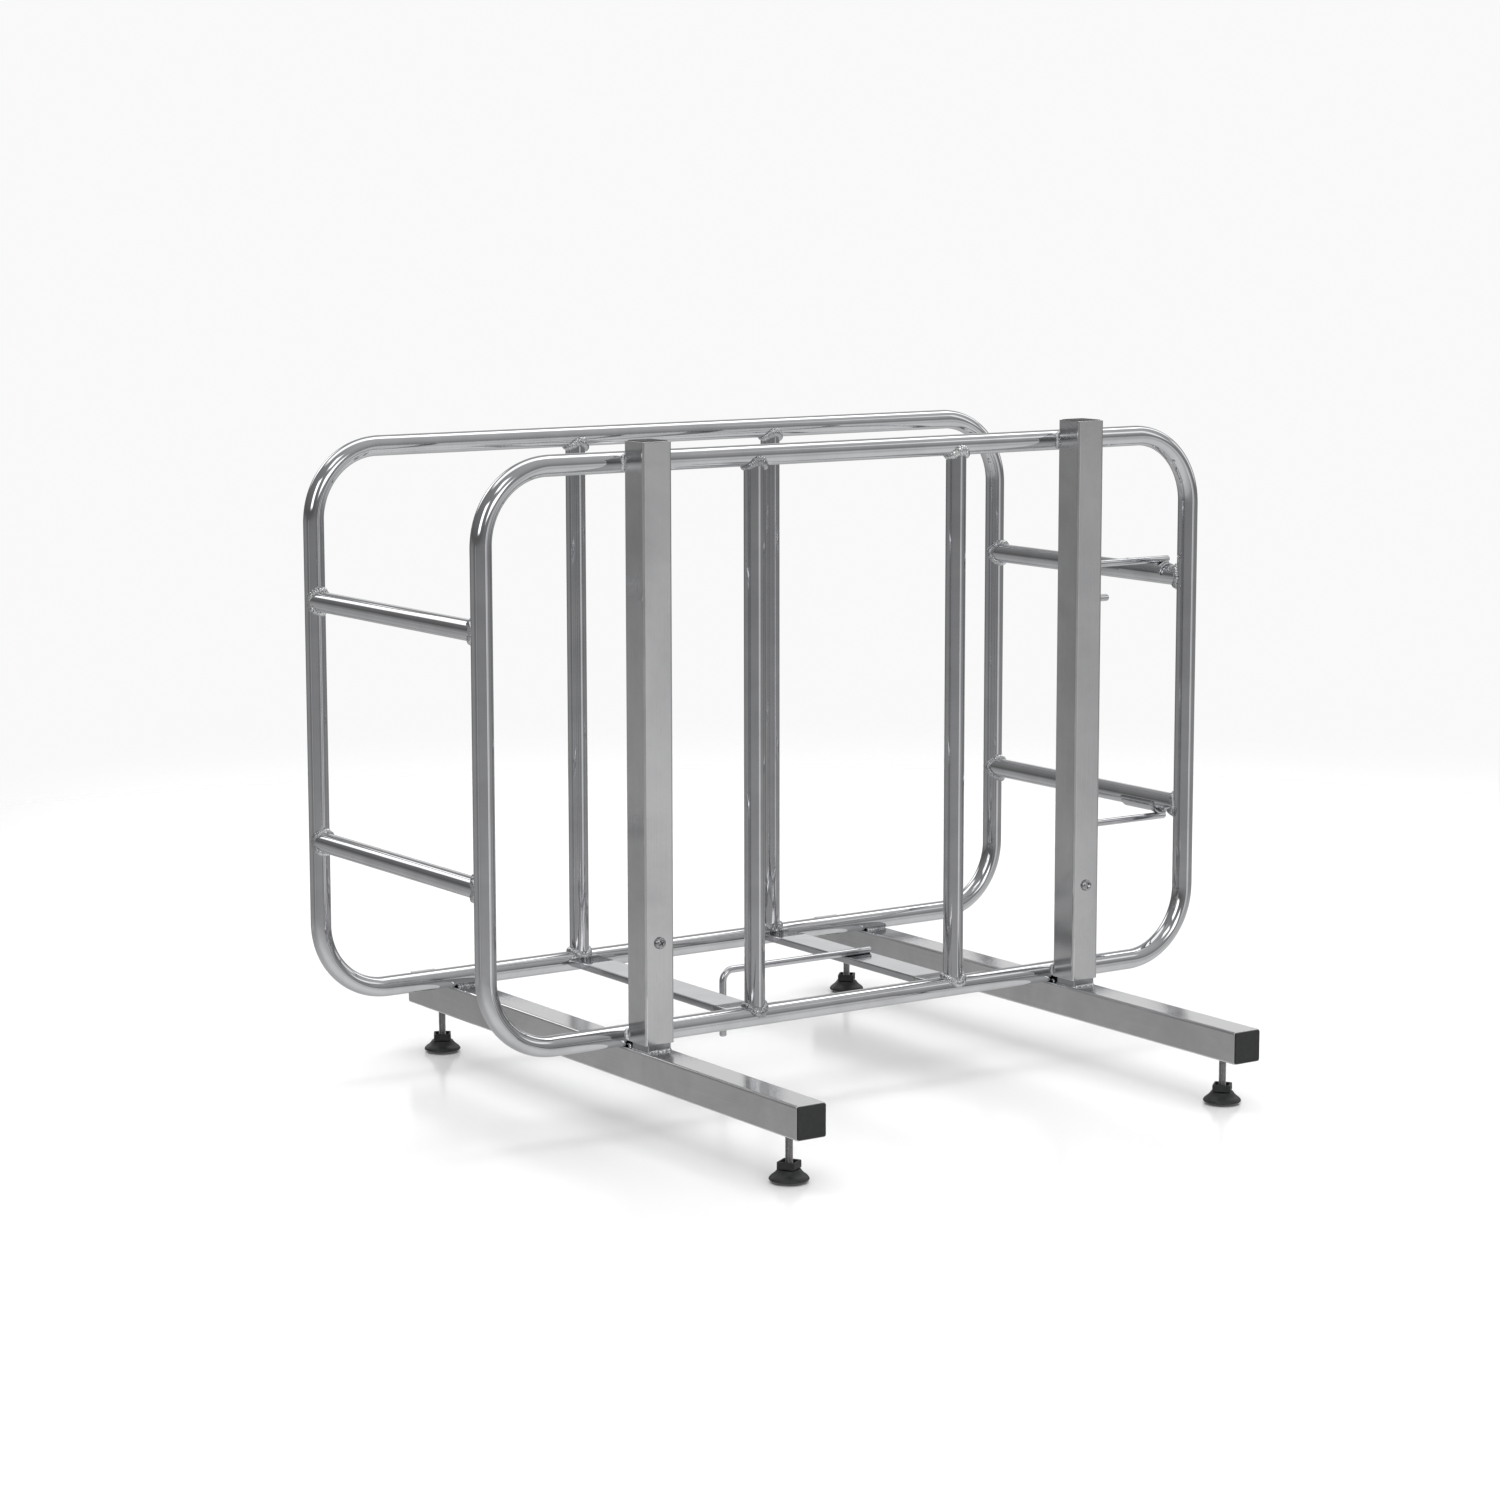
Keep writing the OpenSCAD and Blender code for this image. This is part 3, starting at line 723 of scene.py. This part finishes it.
n_lo, n_hi = box("weld_nuts")
nuts = Shape()
FEET = {}
for end in ("front", "rear"):
    for side in ("left", "right"):
        lo, hi = box("pad_%s_%s" % (end, side))
        FEET[end + "_" + side] = (lo + hi) / 2
NUT_HALF, NUT_LAND, NUT_BORE = 4.0 * MM, 3.7 * MM, 2.58 * MM
turns = np.arange(48) * 2 * math.pi / 48
hexagon = 1 / np.cos((turns + math.pi / 6) % (math.pi / 3) - math.pi / 6)
for c in FEET.values():
    rings = []
    for r, z in ((NUT_BORE, n_lo[2]), (NUT_LAND, n_lo[2]), (NUT_HALF, n_lo[2] + 0.35 * MM),
                 (NUT_HALF, n_hi[2] - 0.4 * MM), (NUT_LAND, n_hi[2]), (NUT_BORE, n_hi[2])):
        rad = r * hexagon if r == NUT_HALF else np.full(48, r)
        p = np.stack([rad * np.cos(turns), rad * np.sin(turns)], 1)
        rings.append(place(p, (c[0], c[1], z), X, Y))
    nuts.loft(rings, closed=True)
nuts.piece("foot_bar_nuts", M_ZINC, slot="zinc_steel", nodes=["weld_nuts"], sharp=30)

# ---------------------------------------------------------------- levelling feet

PITCH = 0.8 * MM
THREAD_MAJOR, THREAD_MINOR = 2.5 * MM, 2.1 * MM
HUB_HALF, HUB_WALL, HUB_FLOOR = 6.0 * MM, 1.3 * MM, 1.7 * MM
# The pad's outside in mm: (inward from its widest, height).
PAD_CURVE = (
    (2.9, 0.12), (2.3, 0.4), (1.65, 0.85), (1.0, 1.25), (0.45, 1.6), (0.12, 1.9), (0.0, 2.1),
    (0.02, 2.35), (0.12, 2.65), (0.34, 3.05), (0.66, 3.5), (1.1, 3.95), (1.7, 4.45), (2.4, 4.95),
    (3.1, 5.5), (3.75, 6.1), (4.35, 6.75), (4.85, 7.4), (5.15, 7.9))
HUB_TURN = {"front_left": 31, "front_right": 41, "rear_left": 60, "rear_right": 47}


def foot(key, c):
    p_lo, p_hi = box("pad_" + key)
    h_lo, h_hi = box("hub_" + key)
    stem_lo, stem_hi = box("stem_" + key)
    o = np.array([c[0], c[1], 0.0])
    rp = (p_hi[0] - p_lo[0]) / 2
    top = p_hi[2]
    sole = ((6.0, 1.0), (4.9, 0.9), (4.3, 0.05), (3.4, 0.0))
    prof = [(rp - r * MM, z * MM) for r, z in sole + PAD_CURVE]
    prof += [(rp - 5.35 * MM, top - 0.08 * MM), (rp - 5.7 * MM, top), (3.0 * MM, top),
             (2.4 * MM, top - 0.1 * MM), (2.3 * MM, top - 2 * MM)]
    sh = lathe(Shape(), o, prof, 64, cap0=True, cap1=True)
    sh.piece("pad_%s_moulding" % key, M_PAD, body="foot_" + key, slot="black_plastic",
             nodes=["pad_" + key], sharp=50)

    # square hub: rounded corners, chamfered rim, open socket round the stem's foot
    tilt = math.radians(HUB_TURN[key])
    ex = X * math.cos(tilt) + Y * math.sin(tilt)
    ey = -X * math.sin(tilt) + Y * math.cos(tilt)
    z0, z1 = h_lo[2], h_hi[2]
    socket = HUB_HALF - HUB_WALL
    section = (
        (2.6 * MM, 0.6, z0), (HUB_HALF - 0.4 * MM, 0.7, z0),
        (HUB_HALF - 0.12 * MM, 0.8, z0 + 0.08 * MM), (HUB_HALF, 0.8, z0 + 0.3 * MM),
        (HUB_HALF, 0.8, z0 + 0.9 * MM), (HUB_HALF - 0.03 * MM, 0.8, z1 - 0.6 * MM),
        (HUB_HALF - 0.08 * MM, 0.8, z1 - 0.25 * MM), (HUB_HALF - 0.25 * MM, 0.75, z1 - 0.03 * MM),
        (HUB_HALF - 0.45 * MM, 0.7, z1), (socket + 0.25 * MM, 0.7, z1),
        (socket + 0.05 * MM, 0.7, z1 - 0.12 * MM), (socket, 0.7, z1 - 0.4 * MM),
        (socket - 0.05 * MM, 0.7, z0 + 2.6 * MM), (socket - 0.3 * MM, 0.7, z0 + 1.9 * MM),
        (socket - 0.8 * MM, 0.6, z0 + 1.75 * MM), (2.45 * MM, 0.6, z0 + HUB_FLOOR))
    rings = []
    for half, corner, z in section:
        rings.append(place(rounded_poly(half, corner * MM, 4, 6, 0.2 * MM), (o[0], o[1], z), ex, ey))
    Shape().loft(rings, cap0=True).piece(
        "hub_%s_moulding" % key, M_PAD, body="screw_" + key, slot="black_plastic",
        nodes=["hub_" + key], sharp=50)

    # stem: real helical thread with rolled ridges, and a pressed collar seated in the hub's socket
    seat_z = z0 + HUB_FLOOR
    lo_z, hi_z = seat_z + 1.4 * MM, stem_hi[2]
    n_a, per = 40, 10
    zs = np.arange(lo_z, hi_z, PITCH / per)
    ang = np.arange(n_a) * 2 * math.pi / n_a
    rings = [place(circle(1.9 * MM, n_a), (o[0], o[1], stem_lo[2] + 4 * MM), X, Y),
             place(circle(2.4 * MM, n_a), (o[0], o[1], lo_z - 0.5 * MM), X, Y)]
    for z in zs:
        ph = (z / PITCH - ang / (2 * math.pi)) % 1.0
        tooth = 1 - np.abs(ph - 0.5) * 2
        ridge = np.clip((tooth - 0.1) / 0.72, 0, 1)
        ridge = ridge * ridge * (3 - 2 * ridge)
        fade = min(1.0, (z - lo_z) / (0.6 * MM), (hi_z - z) / (0.8 * MM))
        rad = THREAD_MINOR + (THREAD_MAJOR - THREAD_MINOR) * ridge * max(fade, 0.0)
        round_x, round_y = o[0] + rad * np.cos(ang), o[1] + rad * np.sin(ang)
        rings.append(np.stack([round_x, round_y, np.full(n_a, z)], 1))
    rings.append(place(circle(1.5 * MM, n_a), (o[0], o[1], hi_z - 0.02 * MM), X, Y))
    sh = Shape().loft(rings, cap0=True, cap1=True)
    sh.piece("stem_%s_thread" % key, M_THREAD, body="screw_" + key, slot="zinc_steel",
             nodes=["stem_" + key], sharp=60)
    collar = ((2.3, 0.05), (3.3, 0.06), (3.6, 0.3), (3.6, 0.9), (3.45, 1.15), (3.1, 1.28), (2.5, 1.3),
              (2.2, 1.55))
    sh = lathe(Shape(), o, [(r * MM, seat_z + z * MM) for r, z in collar], n_a)
    # the collar takes the brighter edge plate, a painted highlight
    sh.piece("stem_%s_collar" % key, M_EDGE_HIGHLIGHT, body="screw_" + key, slot="zinc_steel", sharp=60)


for key, c in FEET.items():
    foot(key, c)

# ---------------------------------------------------------------- bent wires and saddles


def wire_path(points, bend):
    """A polyline in metres with its inner corners rounded to the given centreline radius."""
    pts = [np.asarray(points[0], float)]
    for i in range(1, len(points) - 1):
        p = np.asarray(points[i], float)
        u, v = unit(np.asarray(points[i - 1]) - p), unit(np.asarray(points[i + 1]) - p)
        turn = math.acos(float(np.dot(u, v)))
        cut = bend / math.tan(turn / 2)
        centre = p + unit(u + v) * bend / math.sin(turn / 2)
        a, b = p + u * cut - centre, p + v * cut - centre
        for k in range(15):
            f = k / 14
            w = math.pi - turn
            arc = math.sin((1 - f) * w) * a + math.sin(f * w) * b
            pts.append(centre + arc / math.sin(w))
    pts.append(np.asarray(points[-1], float))
    return np.array(pts)


def wire(path, r, side, n=28):
    """A round rod along path, which lies square to side, with softly rounded ends."""
    path = np.asarray(path, float)
    long = []
    for a, b in zip(path[:-1], path[1:]):
        d = np.linalg.norm(b - a)
        k = max(1, int(d / (12 * MM)))
        long += [a + (b - a) * j / k for j in range(k)]
    path = np.array(long + [path[-1]])
    t = unit(np.gradient(path, axis=0))
    t[0], t[-1] = unit(path[1] - path[0]), unit(path[-1] - path[-2])
    a = np.tile(np.asarray(side, float), (len(path), 1))
    b = np.cross(t, a)
    ang = np.arange(n) * 2 * math.pi / n

    def ring(i, f, shift):
        rim = np.outer(np.cos(ang) * r * f, a[i]) + np.outer(np.sin(ang) * r * f, b[i])
        return path[i] + t[i] * shift + rim

    rings = []
    nose = 1.1 * MM
    for q in (0, 1, 2, 3, 4):
        w = math.radians(90 * q / 5)
        rings.append(ring(0, 1 - nose / r * (1 - math.sin(w)), nose * (1 - math.cos(w))))
    rings += [ring(0, 1, nose)] + [ring(i, 1, 0) for i in range(1, len(path) - 1)]
    rings.append(ring(-1, 1, -nose))
    for q in (4, 3, 2, 1, 0):
        w = math.radians(90 * q / 5)
        rings.append(ring(-1, 1 - nose / r * (1 - math.sin(w)), -nose * (1 - math.cos(w))))
    return Shape().loft(rings, cap0=True, cap1=True)


lo, hi = box("stop_bow")
rw = (hi[1] - lo[1]) / 2
sy = (lo[1] + hi[1]) / 2
bow = wire_path(
    [(hi[0], sy, hi[2] - rw), (lo[0] + rw, sy, hi[2] - rw),
     (lo[0] + rw, sy, lo[2] + rw), (hi[0], sy, lo[2] + rw)], 10 * MM)
wire(bow, rw, Y).piece(
    "stop_bow_wire", M_WIRE, body="wire_stop", slot="chromed_wire", nodes=["stop_bow"])
b_lo, b_hi = box("stop_stub")
zc = (b_lo[2] + b_hi[2]) / 2
wire([(lo[0] + rw, sy, zc), (b_hi[0], sy, zc)], rw, Y).piece(
    "stop_stub_wire", M_WIRE, body="wire_stop", slot="chromed_wire", nodes=["stop_stub"])
dabs = Shape()
rim_r = rw + 0.1 * MM
joint = [(lo[0] + 2 * rw + 0.1 * MM, sy + rim_r * math.sin(w), zc + rim_r * math.cos(w))
         for w in np.linspace(0, 2 * math.pi, 40, endpoint=False)]
pts = resample(joint, STEP)
bead(dabs, pts, unit(pts - np.array([lo[0] + rw, sy, zc])), STUB_LEG, 150)

for n, up in (("saddle_upper", 1), ("saddle_lower", -1)):
    s0, s1 = box(n)
    out_r = (s1[0] - s0[0]) / 2
    in_r = out_r - 1.5 * MM
    cx = (s0[0] + s1[0]) / 2
    cz = s0[2] if up > 0 else s1[2]
    soft = 0.35 * MM
    prof = [(out_r, math.pi * q / 32) for q in range(33)]
    prof += [(in_r, math.pi * (32 - q) / 32) for q in range(33)]
    rings = []
    ly, hy = s0[1], s1[1]
    for y, s in (
            (ly, soft), (ly + 0.1 * MM, soft * 0.4), (ly + soft, 0), (ly + 3 * MM, 0),
            ((ly + hy) / 2, 0),
            (hy - 3 * MM, 0), (hy - soft, 0), (hy - 0.1 * MM, soft * 0.4), (hy, soft)):
        p = []
        for r, a in prof:
            rr = r - s if r == out_r else r + s * 0.5
            edge = max(0.0, 1 - min(a, math.pi - a) / 0.05)
            rr = rr - (soft * edge if r == out_r else -soft * 0.5 * edge)
            p.append((rr * math.cos(a), up * rr * math.sin(a)))
        if up < 0:
            p = p[::-1]
        rings.append(place(p, (cx, y, cz), X, Z))
    Shape().loft(rings, cap0=True, cap1=True).piece(
        n + "_strap", M_STRIP, body="wire_stop", slot="chromed_wire", nodes=[n], sharp=40)
    for s in (-1, 1):
        xs = np.linspace(-6.5 * MM, 3.5 * MM, 90)
        seat_z = cz + up * np.sqrt(np.maximum(out_r ** 2 - xs ** 2, 0))
        at_y = np.full(90, sy + s * (rw - 0.5 * MM))
        path = np.stack([cx + xs, at_y, seat_z + up * 0.2 * MM], 1)
        bead(dabs, path, np.tile(Z * up, (90, 1)), DAB_LEG, 160 + s + up, closed=False)
dabs.piece("stop_weld_dabs", M_WELD, body="wire_stop", slot="weld_metal")

lo, hi = box("floor_wire")
rw = (hi[1] - lo[1]) / 2
wy = (lo[1] + hi[1]) / 2
prop = wire_path(
    [(hi[0], wy, hi[2] - rw), (lo[0] + rw, wy, hi[2] - rw), (lo[0] + rw, wy, lo[2])], 8 * MM)
wire(prop, rw, Y).piece("floor_wire_rod", M_WIRE, slot="chromed_wire", nodes=["floor_wire"])

# ---------------------------------------------------------------- camera, floor and light

CAMERA_AT = (-1.481781, -2.086666, 0.615420)
CAMERA_TURN, CAMERA_DOWN, CAMERA_ROLL = -34.322, 8.614, -0.084    # degrees
CAMERA_LENS, CAMERA_SENSOR = 90.997, 36.0                         # millimetres

scene = bpy.context.scene
cam_data = bpy.data.cameras.new("camera")
cam = bpy.data.objects.new("camera", cam_data)
scene.collection.objects.link(cam)
scene.camera = cam
az, el, roll = (math.radians(d) for d in (CAMERA_TURN, CAMERA_DOWN, CAMERA_ROLL))
look = np.array([-math.sin(az) * math.cos(el), math.cos(az) * math.cos(el), -math.sin(el)])
right = np.array([math.cos(az), math.sin(az), 0.0])
up = np.cross(right, look)
r2 = math.cos(roll) * right + math.sin(roll) * up
u2 = -math.sin(roll) * right + math.cos(roll) * up
m = Matrix.Identity(4)
for k in range(3):
    m[k][0], m[k][1], m[k][2] = r2[k], u2[k], -look[k]
m.translation = Vector(CAMERA_AT)
cam.matrix_world = m
cam_data.sensor_width = CAMERA_SENSOR
cam_data.lens = CAMERA_LENS
cam_data.clip_start = 0.05
cam_data.clip_end = 200

# A pale disc of floor that thins out to the pale backdrop, so no far edge shows.
FLOOR_R, FADE_FROM, FADE_TO = 1.8, 0.95, 1.75
fm, nt, b = nodes_of("floor_paint")
obj_c, _ = coords(nt)
paint = [(0.3, (0.86, 0.86, 0.865)), (0.7, (0.89, 0.89, 0.893))]
nt.links.new(ramp(nt, noise(nt, obj_c, 3, 3, 0.5), paint, True), b.inputs["Base Color"])
b.inputs["Roughness"].default_value = 0.16
b.inputs["Specular IOR Level"].default_value = 0.22
far = node(nt, "ShaderNodeVectorMath", operation="LENGTH")
nt.links.new(obj_c, far.inputs[0])
thin = node(nt, "ShaderNodeMapRange", interpolation_type="SMOOTHSTEP")
thin.inputs["From Min"].default_value = FADE_FROM
thin.inputs["From Max"].default_value = FADE_TO
nt.links.new(far.outputs["Value"], thin.inputs["Value"])
clear = node(nt, "ShaderNodeBsdfTransparent")
blend = node(nt, "ShaderNodeMixShader")
nt.links.new(thin.outputs["Result"], blend.inputs[0])
nt.links.new(b.outputs[0], blend.inputs[1])
nt.links.new(clear.outputs[0], blend.inputs[2])
nt.links.new(blend.outputs[0], nt.nodes["Material Output"].inputs[0])
me = bpy.data.meshes.new("floor")
me.from_pydata([tuple(v) + (0.0,) for v in circle(FLOOR_R, 96)], [], [tuple(range(96))])
floor = bpy.data.objects.new("floor", me)
me.materials.append(fm)
scene.collection.objects.link(floor)
floor.visible_glossy = False


def toward(azimuth, elevation):
    """Unit vector: azimuth 0 is +Y (behind the object), 90 is +X."""
    a, e = math.radians(azimuth), math.radians(elevation)
    return np.array([math.sin(a) * math.cos(e), math.cos(a) * math.cos(e), math.sin(e)])


world = bpy.data.worlds.new("studio")
scene.world = world
world.use_nodes = True
nt = world.node_tree
nt.nodes.clear()
tc = node(nt, "ShaderNodeTexCoord")
ray = tc.outputs["Generated"]


def along(axis):
    n = node(nt, "ShaderNodeVectorMath", operation="DOT_PRODUCT")
    nt.links.new(ray, n.inputs[0])
    n.inputs[1].default_value = tuple(axis)
    return n.outputs["Value"]


def span(value, lo, hi, to_lo=0.0, to_hi=1.0):
    n = node(nt, "ShaderNodeMapRange", interpolation_type="SMOOTHSTEP")
    for k, v in (("From Min", lo), ("From Max", hi), ("To Min", to_lo), ("To Max", to_hi)):
        n.inputs[k].default_value = v
    nt.links.new(value, n.inputs["Value"])
    return n.outputs["Result"]


def softbox(azimuth, elevation, half_wide, half_high, power, soft=0.05, tilt=0.0):
    """A lit panel far away: half sizes in degrees, with a soft edge."""
    c = toward(azimuth, elevation)
    side = toward(azimuth + 90, 0)
    top = np.cross(side, c)
    t = math.radians(tilt)
    side, top = side * math.cos(t) + top * math.sin(t), top * math.cos(t) - side * math.sin(t)
    front = math_node(nt, "MAXIMUM", along(c), 0.02)
    out = power
    for axis, half in ((side, half_wide), (top, half_high)):
        size = math.tan(math.radians(half))
        off = math_node(nt, "ABSOLUTE", math_node(nt, "DIVIDE", along(axis), front), 0)
        out = math_node(nt, "MULTIPLY", span(off, size - soft, size + soft, 1.0, 0.0), out)
    return math_node(nt, "MULTIPLY", out, math_node(nt, "GREATER_THAN", along(c), 0.05))


height = math_node(nt, "ADD", math_node(nt, "MULTIPLY", along(Z), 0.5), 0.5)
upper = ramp(nt, height, [(0.49, 0.2), (0.54, 0.17), (0.66, 0.25), (0.85, 0.34), (1.0, 0.4)])
upper = math_node(nt, "MULTIPLY", upper, span(along(toward(105, 0)), -0.7, 0.9, 0.85, 1.75))
lower = ramp(nt, height, [
    (0.0, 0.75), (0.07, 0.84), (0.21, 0.84), (0.29, 0.7), (0.37, 0.56), (0.413, 0.38), (0.456, 0.28),
    (0.5, 0.2)])
lower = math_node(nt, "MULTIPLY", lower, span(along(toward(165, 0)), -0.6, 0.3, 0.68, 1.0))
above = span(along(Z), -0.04, 0.04)
below = math_node(nt, "SUBTRACT", 1.0, above)
room = math_node(
    nt, "ADD", math_node(nt, "MULTIPLY", upper, above), math_node(nt, "MULTIPLY", lower, below))
# (azimuth, elevation, half width, half height, power, soft edge, tilt), angles in degrees
PANELS = (
    (-118, 24, 11, 15, 2.4), (-178, 17, 13, 8, 2.2), (-152, 51, 10, 8, 1.8, 0.05, 25),
    (22, 70, 34, 14, 1.5, 0.12), (72, 45, 6, 24, 1.5), (92, 12, 12, 10, 0.8),
    (128, 25, 5, 14, 0.9), (-4, 24, 12, 9, 1.9), (37, 11, 14, 7, 0.6),
    (150, -8, 11, 7, 0.34, 0.04), (159, -8, 3, 6, 0.4, 0.02), (-94, -7, 4, 6, 0.18, 0.03),
    (-45, -8, 24, 9, 0.12))
for panel in PANELS:
    room = math_node(nt, "ADD", room, softbox(*panel))
env = node(nt, "ShaderNodeBackground")
nt.links.new(room, env.inputs["Color"])
env.inputs["Strength"].default_value = 1.0
seen = node(nt, "ShaderNodeBackground")
seen.inputs["Color"].default_value = (1, 1, 1, 1)
seen.inputs["Strength"].default_value = 0.95
path = node(nt, "ShaderNodeLightPath")
mixw = node(nt, "ShaderNodeMixShader")
nt.links.new(path.outputs["Is Camera Ray"], mixw.inputs[0])
nt.links.new(env.outputs[0], mixw.inputs[1])
nt.links.new(seen.outputs[0], mixw.inputs[2])
outw = node(nt, "ShaderNodeOutputWorld")
nt.links.new(mixw.outputs[0], outw.inputs[0])

sun = bpy.data.lights.new("overhead", "SUN")
sun.energy = 1.7
sun.angle = math.radians(75)
lamp = bpy.data.objects.new("overhead", sun)
scene.collection.objects.link(lamp)
lamp.location = (0, 0, 3)
lamp.rotation_euler = (math.radians(8), math.radians(-6), 0)
lamp.visible_glossy = False

scene.view_settings.view_transform = "Standard"
